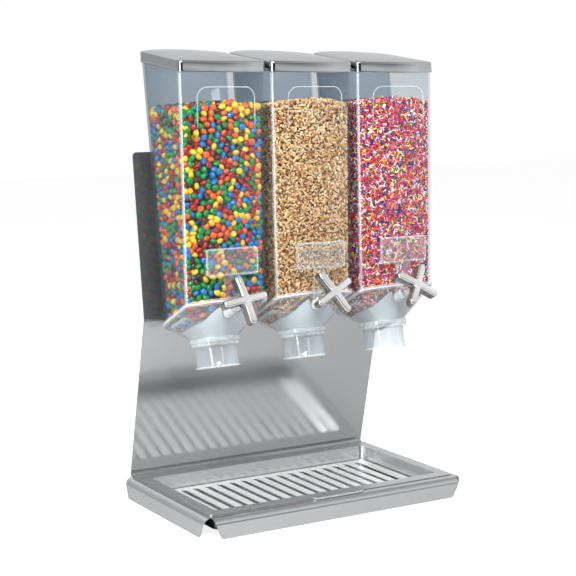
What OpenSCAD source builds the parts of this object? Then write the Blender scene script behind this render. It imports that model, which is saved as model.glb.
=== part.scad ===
// Triple dry-food dispenser: three clear canisters hang on a bent sheet-steel
// stand. Each has a lift-off lid, a funnel with a flexible portion wheel turned
// by a cross-shaped knob, and a round chute over a catch tray with a grate.
// X runs across the front, Y to the back, Z up. The stand rests on Z = 0.

/* [Stand] */
// Width of the flat top of the base
base_w = 417; // [410:1:430]
// Height of the base top above the table
base_h = 30; // [29:0.5:34]
// Front edge of the flat top of the base
base_front_y = -120; // [-124:0.5:-119]
// Corner between the base top and the back panel
base_back_y = 131.4; // [130:0.1:136]
// Thickness of the sheet
sheet_t = 1.5; // [1:0.1:2]
// Radius of the rolled-down edges
flange_r = 12; // [8:0.5:14]
// Height of the corner between the two back panels
bend_z = 273.7; // [268:0.1:280]
// Forward lean of the lower back panel, degrees
lower_lean = 12.3; // [11.5:0.1:13]
// Backward lean of the upper back panel, degrees
upper_lean = 7.3; // [7:0.1:8]
// Length of the upper back panel along its slope
upper_len = 244; // [230:1:260]
// Radius of the bend between the two back panels
bend_r = 40; // [20:1:50]

/* [Catch tray] */
// Width of the tray over its rim
tray_w = 414; // [410:1:416]
// Front edge of the tray rim
tray_front_y = -116; // [-118:0.5:-114]
// Back edge of the tray rim
tray_back_y = 122; // [118:0.5:123]
// Width of the pan inside
pan_w = 380; // [370:1:384]
// Inner front wall of the pan
pan_front_y = -98; // [-99:0.5:-96]
// Inner back wall of the pan
pan_back_y = 98; // [94:0.5:99]
// Depth of the pan below the base top
pan_depth = 26; // [24:0.5:28]
// Thickness of the tray sheet
tray_t = 1.2; // [0.8:0.1:1.5]
// Width of the pull tab on the front rim
tab_w = 86; // [60:1:100]

/* [Grate] */
// Top of the grate below the base top
grate_drop = 20; // [18:0.5:21]
// Distance from slot to slot
slot_pitch = 20.8; // [20:0.1:22]
// Width of a slot
slot_w = 9.5; // [8:0.5:11]
// Number of slots
slot_count = 17; // [15:2:17]

/* [Canisters] */
// Distance from canister to canister
pitch = 145; // [142:0.5:150]
// Width across the bottom of a canister
can_bottom_w = 129.5; // [127:0.1:131]
// Width across the top of a canister
can_top_w = 134; // [132:0.1:136]
// Thickness of the canister wall
can_wall = 2.5; // [2:0.1:3]
// How far the front wall bows forward
can_bow = 9; // [6:0.5:10]
// How far the back wall bulges to the back
can_bulge = 37; // [34:0.5:38]
// Front corner of the canister at its bottom rim: height
rim_z = 313; // [311.5:0.1:316]
// Tilt of the bottom rim, low at the back, degrees
rim_tilt = 27.7; // [26:0.1:29]
// Front corner of the canister at its top: height
mouth_z = 644.4; // [630:0.1:660]
// Rise of the mouth towards the back, degrees
mouth_tilt = 6.6; // [5:0.1:8]

/* [Lids] */
// Height of the lid band
lid_band = 15; // [12:0.5:18]
// Thickness of the lid
lid_t = 1.3; // [1:0.1:1.6]
// Rise of the crown in the middle of the lid
lid_crown = 3.2; // [2:0.1:5]
// Gap between the lid band and the canister wall
lid_gap = 0.5; // [0.4:0.1:0.8]

/* [Portion wheels and knobs] */
// Upward tilt of the shaft towards the front, degrees
shaft_tilt = 26; // [25:0.5:27]
// Radius of the shaft
shaft_r = 4; // [3.5:0.1:4]
// Radius of the portion wheel over its vanes
wheel_r = 28.5; // [27:0.5:29]
// Number of vanes on the wheel
vane_count = 8; // [6:1:9]
// Length of one knob arm from the middle
arm_len = 35; // [30:0.5:36]
// Width of a knob arm
arm_w = 10.6; // [9:0.1:12]
// Depth of a knob arm along the shaft
arm_depth = 15; // [12:0.5:16]

/* [Chutes] */
// Outer radius of the chute tube
chute_r = 30.5; // [29:0.5:30.5]
// Length of the chute tube below its flange
chute_len = 31.5; // [28:0.5:32]
// Forward tilt of the chute, degrees
chute_tilt = 13.2; // [12:0.1:14]

/* [Label holders] */
// Width of the label plate
label_w = 82; // [70:1:90]
// Height of the label plate
label_h = 38; // [34:1:40]
// Height of the middle of the label plate
label_z = 371.5; // [369:0.5:374]

/* [Hidden] */
$fn = 48;

side_names = ["left", "middle", "right"];
side_x = [-pitch, 0, pitch];
knob_turn = [8, 28, 58];
run_gap = 0.06;

// Back panel: corner of its two front faces, and where its lower bend starts
bend_y = base_back_y - (bend_z - base_h) * tan(lower_lean);
foot_r = 4;
foot_c = [base_back_y - foot_r * (1 + sin(lower_lean)) / cos(lower_lean), base_h + foot_r];

// Canister outline at the bottom rim and at the mouth: front corner, back corner
rim_front_y = -55;
rim_back_y = 13.5;
mouth_front_y = -44.6;
mouth_back_y = 71.3;
corner_r = 7;
back_corner_r = 14;
flange_out = 2;
flange_t = 2.5;
gasket_t = 1;
lift_lean = 5;

// Shaft: the point where it passes the front of the funnel, and stations along it
shaft_y = -48.4;
shaft_z = 294.6;
wheel_from = -59.1;
wheel_to = -21.1;
boss_end = 32;
knob_face = 69.4;
knob_back = boss_end + 1;
boss_r = 9.5;
bush_r = 7;
trough_r = 29.6;
trough_t = 1.9;

// Chute: middle of its lower end, and stations along its axis
chute_y = -27.8;
chute_z = 215.7;
chute_flange_t = 4;
collar_from = chute_len + chute_flange_t + 0.5;
collar_to = collar_from + 6;
collar_r = 36.5;
funnel_neck_r = 34.5;
funnel_wall = 2.4;

// Hanger on the upper panel: middle of it along the slope, and its T section
hang_w = 150;
hang_len = 70;
hang_plate_t = 2;
hang_stem = 10;
hang_head_t = 2.5;
hang_head_w = 40;
hang_screw_off = 46;
hang_screw_r = 2.5;

// ---------- shared functions ----------

function unit(v) = v / norm(v);

function arc(c, r, from, to, n) =
  [for (i = [0:n]) let (a = from + (to - from) * i / n) c + r * [cos(a), sin(a)]];

// Round corner of radius r at p, between its neighbours before and after
function round_corner(before, p, after, r, n) =
  let (
    u = unit(before - p),
    v = unit(after - p),
    half = acos(u * v) / 2,
    c = p + unit(u + v) * r / sin(half),
    start = p + u * r / tan(half) - c,
    end = p + v * r / tan(half) - c,
    a = atan2(start[1], start[0]),
    turn = (atan2(end[1], end[0]) - a + 540) % 360 - 180
  )
  arc(c, r, a, a + turn, n);

// Bow of a wall that is out by sag in its middle and 0 at the half width a
function bow(x, a, sag) = sag * (1 - pow(x / a, 2));

// Canister outline seen from above, counter-clockwise from the front left:
// bowed front, straight sides, bulged back. The inset moves every wall inwards.
function outline(w, front, back, bulge, inset) =
  let (
    a = w / 2 - inset,
    f = front + inset,
    b = back - inset * 0.6,
    front_wall = [for (i = [-2:2]) let (x = i / 3 * a) [x, f - bow(x, a, can_bow)]],
    back_wall = [for (i = [-4:4]) let (x = -i / 5 * a) [x, b + bow(x, a, bulge - inset * 0.4)]],
    r = max(corner_r - inset, 3),
    rb = max(back_corner_r - inset, 3)
  )
  concat(
    front_wall,
    round_corner(front_wall[4], [a, f], [a, b], r, 5),
    round_corner([a, f], [a, b], back_wall[0], rb, 3),
    back_wall,
    round_corner(back_wall[8], [-a, b], [-a, f], rb, 3),
    round_corner([-a, b], [-a, f], front_wall[0], r, 5)
  );

// Outline points laid on a plane that slopes along Y through [y0, z0]
function on_slope(points, cx, y0, z0, slope) =
  [for (p = points) [p[0] + cx, p[1], z0 + (p[1] - y0) * slope]];

function rim_ring(cx, inset, up) = on_slope(
  outline(can_bottom_w, rim_front_y, rim_back_y, can_bulge, inset),
  cx, rim_front_y, rim_z + up, -tan(rim_tilt));

function mouth_outline(inset) =
  outline(can_top_w, mouth_front_y, mouth_back_y, can_bulge, inset);

// Ring of the mouth, moved up along the direction in which the lid lifts off
function mouth_ring(cx, inset, up) =
  [for (p = on_slope(mouth_outline(inset), cx, mouth_front_y, mouth_z, tan(mouth_tilt)))
    p + up * [0, sin(lift_lean), cos(lift_lean)]];

function between(ring_a, ring_b, t) =
  [for (i = [0:len(ring_a) - 1]) ring_a[i] + t * (ring_b[i] - ring_a[i])];

// Circle around the chute axis with one point towards each rim point
function neck_ring(cx, r, along) =
  let (
    mid = [cx, chute_y, chute_z] + along * [0, sin(chute_tilt), cos(chute_tilt)],
    rim = rim_ring(cx, 0, 0)
  )
  [for (p = rim)
    let (a = atan2(p[1] + 12, p[0] - cx))
    mid + r * [cos(a), sin(a) * cos(chute_tilt), -sin(a) * sin(chute_tilt)]];

// ---------- shared shapes ----------

// Solid through closed rings of equal point counts, from the lowest up
module loft(rings) {
  n = len(rings[0]);
  m = len(rings);
  walls = [for (k = [0:m - 2], i = [0:n - 1])
    let (j = (i + 1) % n, low = k * n, high = low + n)
    each [[low + i, high + i, high + j], [low + i, high + j, low + j]]];
  floor_face = [[for (i = [0:n - 1]) i]];
  top_face = [[for (i = [0:n - 1]) m * n - 1 - i]];
  polyhedron([for (ring = rings) each ring], concat(floor_face, top_face, walls));
}

module shaft_frame(cx) {
  translate([cx, shaft_y, shaft_z]) rotate([90 - shaft_tilt, 0, 0]) children();
}

module chute_frame(cx) {
  translate([cx, chute_y, chute_z]) rotate([-chute_tilt, 0, 0]) children();
}

// Upper panel: X across, local -Y off its front face, local Z up its slope
module panel_frame(cx) {
  translate([cx, bend_y, bend_z]) rotate([-upper_lean, 0, 0]) children();
}

// Rod about local Z. It is turned so that no cut runs along its seam.
module rod(r, from, to) {
  rotate([0, 0, -57]) translate([0, 0, from]) cylinder(r = r, h = to - from);
}

module rounded_rect(w, d, r) {
  union() {
    square([w - 2 * r, d], center = true);
    square([w, d - 2 * r], center = true);
    for (x = [-1, 1], y = [-1, 1]) translate([x * (w / 2 - r), y * (d / 2 - r)]) circle(r);
  }
}

// Rounded rectangle given by its two Y edges
module rounded_span(w, from_y, to_y, r) {
  translate([0, (from_y + to_y) / 2]) rounded_rect(w, to_y - from_y, r);
}

// ---------- stand ----------

// Section of the back panel in Y and Z, from the base top to its upper edge
function back_section() =
  let (
    up = [sin(upper_lean), cos(upper_lean)],
    back = [cos(upper_lean), -sin(upper_lean)],
    front_r = bend_r + sheet_t,
    half = (lower_lean + upper_lean) / 2,
    mid = (lower_lean - upper_lean) / 2,
    bend_c = [bend_y, bend_z] + front_r / cos(half) * [cos(mid), sin(mid)],
    top = [bend_y, bend_z] + upper_len * up
  )
  concat(
    [[foot_c[0] - 3, base_h]],
    arc(foot_c, foot_r, -90, lower_lean, 8),
    arc(bend_c, front_r, 180 + lower_lean, 180 - upper_lean, 6),
    [top, top + sheet_t * back],
    arc(bend_c, bend_r, 180 - upper_lean, 180 + lower_lean, 6),
    arc(foot_c, foot_r + sheet_t, lower_lean, -90, 8),
    [[foot_c[0] - 3, base_h - sheet_t]]
  );

// Section of a rolled-down edge: it starts at the origin and drops to -base_h
module flange_section() {
  polygon(concat(
    [[-2, 0]],
    arc([0, -flange_r], flange_r, 90, 0, 8),
    [[flange_r, -base_h], [flange_r - sheet_t, -base_h]],
    arc([0, -flange_r], flange_r - sheet_t, 0, 90, 8),
    [[-2, -sheet_t]]
  ));
}

// Flat shape of a flange of the given length: its ends draw in towards the
// lower edge and end in a round corner
module flange_shape(len) {
  draw_in = 11;
  r = 7;
  end = [len / 2 - draw_in, -base_h];
  shoulder = [len / 2, -3];
  right = concat(
    [[len / 2, 1], shoulder],
    round_corner(shoulder, end, [0, -base_h], r, 6)
  );
  n = len(right);
  polygon(concat(right, [for (i = [n - 1:-1:0]) [-right[i][0], right[i][1]]]));
}

// One rolled edge along X, with its middle at the origin and its lip towards -Y
module rolled_edge(len) {
  intersection() {
    rotate([90, 0, -90]) translate([0, 0, -len / 2]) linear_extrude(len) flange_section();
    rotate([90, 0, 0]) translate([0, 0, -5]) linear_extrude(flange_r + 10) flange_shape(len);
  }
}

module stand_sheet() {
  deep = foot_c[0] - base_front_y;
  mid_y = (foot_c[0] + base_front_y) / 2;
  top_corner_r = 6;
  cut_w = pan_w + 2 * tray_t + 4;
  cut_front = pan_front_y - tray_t - 7;
  cut_back = pan_back_y + tray_t + 8;
  color("lightsteelblue") difference() {
    union() {
      translate([-base_w / 2, base_front_y, base_h - sheet_t]) cube([base_w, deep, sheet_t]);
      translate([-base_w / 2, 0, 0]) rotate([90, 0, 90]) linear_extrude(base_w) polygon(back_section());
      translate([0, base_front_y, base_h]) rolled_edge(base_w);
      translate([-base_w / 2, mid_y, base_h]) rotate([0, 0, -90]) rolled_edge(deep);
      translate([base_w / 2, mid_y, base_h]) rotate([0, 0, 90]) rolled_edge(deep);
    }
    translate([0, 0, base_h - 5]) linear_extrude(10) rounded_span(cut_w, cut_front, cut_back, 3);
    for (cx = side_x, w = [-1, 1]) panel_frame(cx)
      translate([0, 5, hang_w + w * hang_screw_off]) rotate([90, 0, 0])
        cylinder(r = hang_screw_r, h = 10);
    for (side = [-1, 1]) panel_frame(0)
      translate([side * (base_w / 2 - top_corner_r), 5, upper_len - top_corner_r]) rotate([90, 0, 0])
        linear_extrude(10) difference() {
          translate([side > 0 ? 0 : -top_corner_r - 1, 0]) square(top_corner_r + 1);
          circle(top_corner_r);
        }
  }
}

// ---------- catch tray and grate ----------

module catch_tray() {
  pan_floor = base_h - pan_depth;
  tab_out = 8.5;
  gap = 0.3;
  color("lightgray") difference() {
    union() {
      translate([0, 0, base_h + gap]) linear_extrude(tray_t)
        rounded_span(tray_w, tray_front_y, tray_back_y, 5);
      translate([0, 0, pan_floor]) linear_extrude(pan_depth + tray_t)
        rounded_span(pan_w + 2 * tray_t, pan_front_y - tray_t, pan_back_y + tray_t, 8);
      translate([0, 0, base_h + gap]) linear_extrude(2 * tray_t)
        rounded_span(tab_w, tray_front_y - tab_out, tray_front_y + 9, 7);
    }
    translate([0, 0, pan_floor + tray_t]) linear_extrude(pan_depth + 5)
      rounded_span(pan_w, pan_front_y, pan_back_y, 8 - tray_t);
  }
}

module drip_grate() {
  top = base_h - grate_drop;
  plate_t = 1.5;
  side_gap = 3;
  grate_w = pan_w - 2 * side_gap;
  from_y = pan_front_y + side_gap;
  to_y = pan_back_y - side_gap;
  foot_z = base_h - pan_depth + tray_t + 0.3;
  slot_len = to_y - from_y - 18;
  color("white") difference() {
    union() {
      translate([0, 0, top - plate_t]) linear_extrude(plate_t)
        rounded_span(grate_w, from_y, to_y, 6);
      for (side = [-1, 1]) translate([side * (grate_w / 2 - plate_t / 2), (from_y + to_y) / 2, 0])
        translate([-plate_t / 2, -(to_y - from_y) / 2 + 6, foot_z])
          cube([plate_t, to_y - from_y - 12, top - foot_z]);
    }
    for (i = [0:slot_count - 1])
      translate([(i - (slot_count - 1) / 2) * slot_pitch, (from_y + to_y) / 2, top - 5])
        linear_extrude(10) {
          square([slot_w, slot_len - slot_w], center = true);
          for (y = [-1, 1]) translate([0, y * (slot_len - slot_w) / 2]) circle(slot_w / 2);
        }
  }
}

// ---------- hangers on the stand ----------

module hanger(cx) {
  plate_w = 32;
  stem_w = 16;
  plate_len = 2 * hang_screw_off + 22;
  color("silver") panel_frame(cx) translate([0, 0, hang_w]) difference() {
    union() {
      translate([-plate_w / 2, -hang_plate_t, -plate_len / 2]) cube([plate_w, hang_plate_t, plate_len]);
      translate([-stem_w / 2, -hang_stem, -hang_len / 2]) cube([stem_w, hang_stem, hang_len]);
      translate([-hang_head_w / 2, -hang_stem - hang_head_t, -hang_len / 2])
        cube([hang_head_w, hang_head_t, hang_len]);
    }
    for (w = [-1, 1]) translate([0, 5, w * hang_screw_off]) rotate([90, 0, 0])
      cylinder(r = hang_screw_r, h = 10);
  }
}

module hanger_screws() {
  head_r = 4.5;
  head_t = 2.4;
  color("gray") for (cx = side_x, w = [-1, 1]) panel_frame(cx)
    translate([0, 0, hang_w + w * hang_screw_off]) rotate([90, 0, 0]) union() {
      rod(hang_screw_r, -sheet_t - 4.6, hang_plate_t);
      rod(head_r, hang_plate_t, hang_plate_t + head_t);
    }
}

module hanger_nuts() {
  nut_r = 4.6;
  nut_t = 3.2;
  color("dimgray") for (cx = side_x, w = [-1, 1]) panel_frame(cx)
    translate([0, sheet_t, hang_w + w * hang_screw_off]) rotate([-90, 0, 0]) difference() {
      cylinder(r = nut_r, h = nut_t, $fn = 6);
      translate([0, 0, -1]) cylinder(r = hang_screw_r, h = nut_t + 2);
    }
}

// ---------- canister, hook, lid ----------

module canister_solid(cx, inset, past) {
  low = rim_ring(cx, inset, 0);
  high = mouth_ring(cx, inset, 0);
  loft([between(low, high, -past), between(low, high, 1 + past)]);
}

module canister(cx) {
  rim = rim_ring(cx, 0, 0);
  mouth = mouth_ring(cx, 0, 0);
  color("lightblue", 0.4) difference() {
    loft([
      rim_ring(cx, -flange_out, 0),
      rim_ring(cx, -flange_out, flange_t),
      between(rim, mouth, flange_t / (mouth_z - rim_z)),
      mouth,
    ]);
    canister_solid(cx, can_wall, 0.02);
  }
}

module hook(cx) {
  half_w = 25;
  off_panel = 6.4;
  lip = 3;
  play = 0.6;
  below = 36;
  above = 40;
  deep = 30;
  head_from = hang_stem - play;
  head_to = hang_stem + hang_head_t + play;
  slot_half = 9;
  color("lightblue", 0.6) difference() {
    panel_frame(cx) translate([0, 0, hang_w]) difference() {
      translate([-half_w, -deep, -below]) cube([2 * half_w, deep - off_panel, below + above]);
      translate([-hang_head_w / 2 - play, -head_to, -below - 1])
        cube([hang_head_w + 2 * play, head_to - head_from, below + 1 + hang_len / 2 + 0.3]);
      translate([-slot_half, -head_to, -below - 1])
        cube([2 * slot_half, head_to, below + 1 + hang_len / 2 + 0.3]);
      translate([-slot_half, -off_panel - lip, -below - 1])
        cube([2 * slot_half, lip + 1, below + above + 2]);
    }
    canister_solid(cx, 0, 0);
  }
}

module lid(cx) {
  out = -lid_gap - lid_t;
  roof = lid_t + 0.3;
  color("silver") difference() {
    loft([
      mouth_ring(cx, out, roof - lid_band),
      mouth_ring(cx, out, roof - 1.5),
      mouth_ring(cx, out + 1.5, roof),
      mouth_ring(cx, out + 14, roof + lid_crown * 0.75),
      mouth_ring(cx, out + 34, roof + lid_crown),
    ]);
    loft([mouth_ring(cx, -lid_gap, roof - lid_band - 1), mouth_ring(cx, -lid_gap, 0.3)]);
  }
}

module lid_seal(cx) {
  gap = 0.5;
  seal_w = 4;
  seal_h = 5;
  outer = can_wall + gap;
  color("white") difference() {
    loft([mouth_ring(cx, outer, 0.3 - seal_h), mouth_ring(cx, outer, 0.3)]);
    loft([mouth_ring(cx, outer + seal_w, -seal_h - 1), mouth_ring(cx, outer + seal_w, 1)]);
  }
}

// ---------- funnel and what it holds ----------

module rim_gasket(cx) {
  color("white") difference() {
    loft([rim_ring(cx, 1 - flange_out, -gasket_t), rim_ring(cx, 1 - flange_out, 0)]);
    loft([rim_ring(cx, can_wall, -gasket_t - 1), rim_ring(cx, can_wall, 1)]);
  }
}

module funnel_inside(cx, inset) {
  loft([
    neck_ring(cx, funnel_neck_r - funnel_wall + 0.6 - inset, collar_to - 1),
    rim_ring(cx, funnel_wall + inset, 0),
    rim_ring(cx, funnel_wall + inset, 8),
  ]);
}

module funnel(cx) {
  top = -gasket_t;
  color("lightblue", 0.4) difference() {
    union() {
      loft([rim_ring(cx, -flange_out, top - flange_t), rim_ring(cx, -flange_out, top)]);
      loft([neck_ring(cx, funnel_neck_r, collar_to), rim_ring(cx, 0, top - 1)]);
      chute_frame(cx) rod(collar_r, collar_from, collar_to + 1);
      shaft_frame(cx) rod(boss_r, 6, boss_end);
    }
    funnel_inside(cx, 0);
    chute_frame(cx) rod(funnel_neck_r - funnel_wall, collar_from - 1, collar_to + 1);
    shaft_frame(cx) rod(bush_r, -5, boss_end + 1);
  }
}

// Half drum under the wheel, open to the chute, with end walls that carry the
// shaft and two sloping wings that lead the food in
module wheel_housing(cx) {
  from = wheel_from - 1.3;
  to = wheel_to + 2.2;
  outer = trough_r + trough_t;
  wing_slope = 14;
  drop_r = 15;
  color("white") difference() {
    union() {
      shaft_frame(cx) difference() {
        rod(outer, from - trough_t, to + trough_t);
        rod(trough_r, from, to);
        translate([-50, 0, from - 10]) cube([100, 50, to - from + 20]);
      }
      shaft_frame(cx) rod(bush_r, from - trough_t - 4, from);
      intersection() {
        funnel_inside(cx, 0.4);
        shaft_frame(cx) for (side = [-1, 1])
          translate([side * (trough_r + trough_t / 2), -trough_t / 2, from - trough_t + 0.5])
            rotate([0, 0, side * wing_slope])
              translate([side > 0 ? 0 : -40, -trough_t / 2, 0])
                cube([40, trough_t, to - from + 2 * trough_t - 1]);
      }
    }
    shaft_frame(cx) translate([0, 0, (wheel_from + wheel_to) / 2]) rotate([90, 0, 0])
      rod(drop_r, 15, 50);
    shaft_frame(cx) rod(shaft_r + run_gap, from - 20, from + 5);
    shaft_frame(cx) rod(bush_r + 1, to - 1, to + 10);
  }
}

module portion_wheel(cx) {
  hub_r = 9;
  vane_t = 2;
  color("whitesmoke") shaft_frame(cx) difference() {
    union() {
      rod(hub_r, wheel_from, wheel_to);
      for (i = [0:vane_count - 1]) rotate([0, 0, 360 * i / vane_count])
        translate([hub_r - 2, -vane_t / 2, wheel_from + 0.5])
          cube([wheel_r - hub_r + 2, vane_t, wheel_to - wheel_from - 1]);
    }
    rod(shaft_r, wheel_from - 1, wheel_to + 1);
  }
}

module shaft(cx) {
  color("gray") shaft_frame(cx) rod(shaft_r, wheel_from - 7, knob_back + 24);
}

module shaft_bush(cx) {
  color("white") shaft_frame(cx) difference() {
    rod(bush_r, 6, boss_end);
    rod(shaft_r + run_gap, 0, boss_end + 1);
  }
}

module knob(cx, turn) {
  hub_r = 9.5;
  reach = arm_len - arm_w / 2;
  color("silver") shaft_frame(cx) difference() {
    union() {
      rod(hub_r, knob_back, knob_face - 1);
      rotate([0, 0, turn]) translate([0, 0, knob_face - arm_depth]) linear_extrude(arm_depth)
        union() {
          square([2 * reach, arm_w], center = true);
          square([arm_w, 2 * reach], center = true);
          for (a = [0:90:270]) rotate(a) translate([reach, 0]) circle(arm_w / 2);
        }
    }
    rod(shaft_r, knob_back - 1, knob_back + 24);
  }
}

// ---------- chute and label holder ----------

module chute(cx) {
  lip = 1.6;
  lip_h = 2.2;
  wall = 2;
  color("lightblue", 0.4) chute_frame(cx) difference() {
    union() {
      rod(chute_r, 0, chute_len + 1);
      rod(chute_r + lip, 0, lip_h);
      rod(chute_r + 4.7, chute_len, chute_len + chute_flange_t);
    }
    rod(chute_r - wall, -1, chute_len + chute_flange_t + 1);
  }
}

module label_holder(cx) {
  plate_t = 2;
  lean = 1.7;
  back_y = -69;
  stem_w = 26;
  stem_low = 60;
  eye_z = 65.5;
  eye_r = 13.5;
  frame_t = 1.2;
  color("lightblue", 0.5) difference() {
    translate([cx, back_y, label_z]) rotate([90 - lean, 0, 0]) difference() {
      union() {
        linear_extrude(plate_t) rounded_rect(label_w, label_h, 4);
        translate([-stem_w / 2, -stem_low, 0]) cube([stem_w, stem_low, plate_t]);
        translate([0, -eye_z, 0]) cylinder(r = eye_r, h = plate_t);
        linear_extrude(plate_t + frame_t) difference() {
          rounded_rect(label_w, label_h, 4);
          rounded_rect(label_w - 5, label_h - 5, 2.5);
        }
      }
    }
    shaft_frame(cx) rod(boss_r, 5, 45);
  }
}

stand_sheet();
catch_tray();
drip_grate();
hanger_screws();
hanger_nuts();
for (i = [0:2]) {
  cx = side_x[i];
  side = side_names[i];
  hanger(cx);
  canister(cx);
  hook(cx);
  lid(cx);
  lid_seal(cx);
  rim_gasket(cx);
  funnel(cx);
  wheel_housing(cx);
  portion_wheel(cx);
  shaft(cx);
  shaft_bush(cx);
  knob(cx, knob_turn[i]);
  chute(cx);
  label_holder(cx);
}
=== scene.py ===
"""Looks of the triple dry-food dispenser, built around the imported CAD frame. Lengths are in metres."""

import math

import bpy
import numpy as np
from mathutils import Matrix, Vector


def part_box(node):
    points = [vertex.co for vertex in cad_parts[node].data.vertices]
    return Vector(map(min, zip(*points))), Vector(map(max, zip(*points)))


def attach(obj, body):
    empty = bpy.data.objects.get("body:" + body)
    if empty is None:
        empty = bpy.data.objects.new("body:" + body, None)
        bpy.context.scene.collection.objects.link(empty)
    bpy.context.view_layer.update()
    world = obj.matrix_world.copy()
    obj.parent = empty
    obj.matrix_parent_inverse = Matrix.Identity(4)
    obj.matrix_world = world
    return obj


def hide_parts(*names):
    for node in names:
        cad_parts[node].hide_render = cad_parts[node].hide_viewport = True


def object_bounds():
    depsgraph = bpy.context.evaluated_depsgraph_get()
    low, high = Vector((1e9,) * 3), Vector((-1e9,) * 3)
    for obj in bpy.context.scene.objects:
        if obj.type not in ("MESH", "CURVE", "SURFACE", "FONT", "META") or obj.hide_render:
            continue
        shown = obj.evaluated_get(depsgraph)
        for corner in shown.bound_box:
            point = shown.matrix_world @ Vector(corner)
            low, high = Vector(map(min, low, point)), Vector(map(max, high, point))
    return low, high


MM = 0.001
SIDES = ("left", "middle", "right")

# Canister: outlines at its bottom rim and its mouth, in millimetres
CAN_BOTTOM_W = 129.5
CAN_TOP_W = 134.0
CAN_WALL = 2.5
CAN_BOW = 9.0
CAN_BULGE = 37.0
RIM_Z = 313.0
RIM_TILT = math.radians(27.7)
RIM_FRONT_Y = -55.0
RIM_BACK_Y = 13.5
MOUTH_Z = 644.4
MOUTH_TILT = math.radians(6.6)
MOUTH_FRONT_Y = -44.6
MOUTH_BACK_Y = 71.3
RIM_MIDDLE_Y = -12.0
CORNER_R = 7.0
BACK_CORNER_R = 14.0
# How far out of its half width each bowed wall starts, and the points along each stretch of the outline
WALL_SHARE = 0.8
FRONT_POINTS = 25
BACK_POINTS = 29
FRONT_CORNER_STEPS = 10
BACK_CORNER_STEPS = 5
FLANGE_OUT = 2.0
FLANGE_T = 2.5
GASKET_T = 1.0
LIFT_LEAN = math.radians(5.0)

# Lid
LID_BAND = 15.0
LID_T = 1.3
LID_CROWN = 3.2
LID_GAP = 0.5

# Shaft line and knob
SHAFT_Y = -48.4
SHAFT_Z = 294.6
SHAFT_TILT = math.radians(26.0)
WHEEL_R = 28.5
WHEEL_FROM = -59.1
WHEEL_TO = -21.1
TROUGH_R = 31.5
BOSS_FROM = 12.0
BOSS_END = 32.0
BOSS_R = 9.5
# How far the funnel's front wall runs along the shaft for each step up it
BOSS_SLANT = 0.79
BUSH_R = 7.0
KNOB_BACK = 33.0
KNOB_FACE = 69.4
ARM_LEN = 35.0
ARM_W = 10.6
ARM_DEPTH = 15.0
KNOB_CROWN = 1.8
KNOB_TURN = {"left": 8.0, "middle": 28.0, "right": 58.0}

# Chute and funnel neck
CHUTE_Y = -27.8
CHUTE_Z = 215.7
CHUTE_TILT = math.radians(13.2)
CHUTE_R = 30.5
CHUTE_LEN = 31.5
CHUTE_WALL = 2.0
CHUTE_FLANGE_R = 35.2
CHUTE_FLANGE_T = 4.0
COLLAR_FROM = 36.0
COLLAR_TO = 42.0
COLLAR_R = 36.5
NECK_R = 34.5
FUNNEL_WALL = 2.4
# Length of the funnel's wall from neck to rim, about
FUNNEL_RUN = 75.0

# Label holder
LABEL_W = 82.0
LABEL_H = 38.0
LABEL_CORNER = 4.0
LABEL_Z = 371.5
LABEL_Y = -69.0
LABEL_LEAN = math.radians(1.7)
PLATE_T = 2.0
STEM_W = 26.0
EYE_DROP = 65.5
EYE_R = 13.5

# How high the contents stand, and how far they dome
FILL_Z = {"left": 584.0, "middle": 587.0, "right": 588.0}
FILL_DOME = 7.0

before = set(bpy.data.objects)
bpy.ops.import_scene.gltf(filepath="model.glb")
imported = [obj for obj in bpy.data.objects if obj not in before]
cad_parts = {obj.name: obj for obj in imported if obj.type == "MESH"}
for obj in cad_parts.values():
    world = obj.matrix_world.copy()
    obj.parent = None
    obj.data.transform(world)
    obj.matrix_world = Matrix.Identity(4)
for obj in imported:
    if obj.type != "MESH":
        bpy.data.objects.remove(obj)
CAD_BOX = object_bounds()


def centre_x(side):
    """Middle of that side's canister across the stand, in millimetres."""
    low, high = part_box("canister_" + side)
    return (low.x + high.x) / 2 / MM


# ---------- points and frames ----------


def arc(centre, radius, start, end, count):
    """Points on an arc, angles in degrees, both ends included."""
    angle = np.radians(np.linspace(start, end, count + 1))
    return np.array(centre) + radius * np.column_stack([np.cos(angle), np.sin(angle)])


def unit(vectors):
    """The same vector or rows of vectors, each of length 1."""
    return vectors / np.linalg.norm(vectors, axis=-1, keepdims=True)


def fillet(before, corner, after, radius, count):
    """Points that round the corner between its neighbours before and after."""
    u = unit(before - corner)
    v = unit(after - corner)
    half = math.acos(float(u @ v)) / 2
    middle = unit(u + v)
    centre = corner + middle * radius / math.sin(half)
    start = corner + u * radius / math.tan(half) - centre
    end = corner + v * radius / math.tan(half) - centre
    first = math.degrees(math.atan2(start[1], start[0]))
    turn = (math.degrees(math.atan2(end[1], end[0])) - first + 540) % 360 - 180
    return arc(centre, radius, first, first + turn, count)


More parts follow.
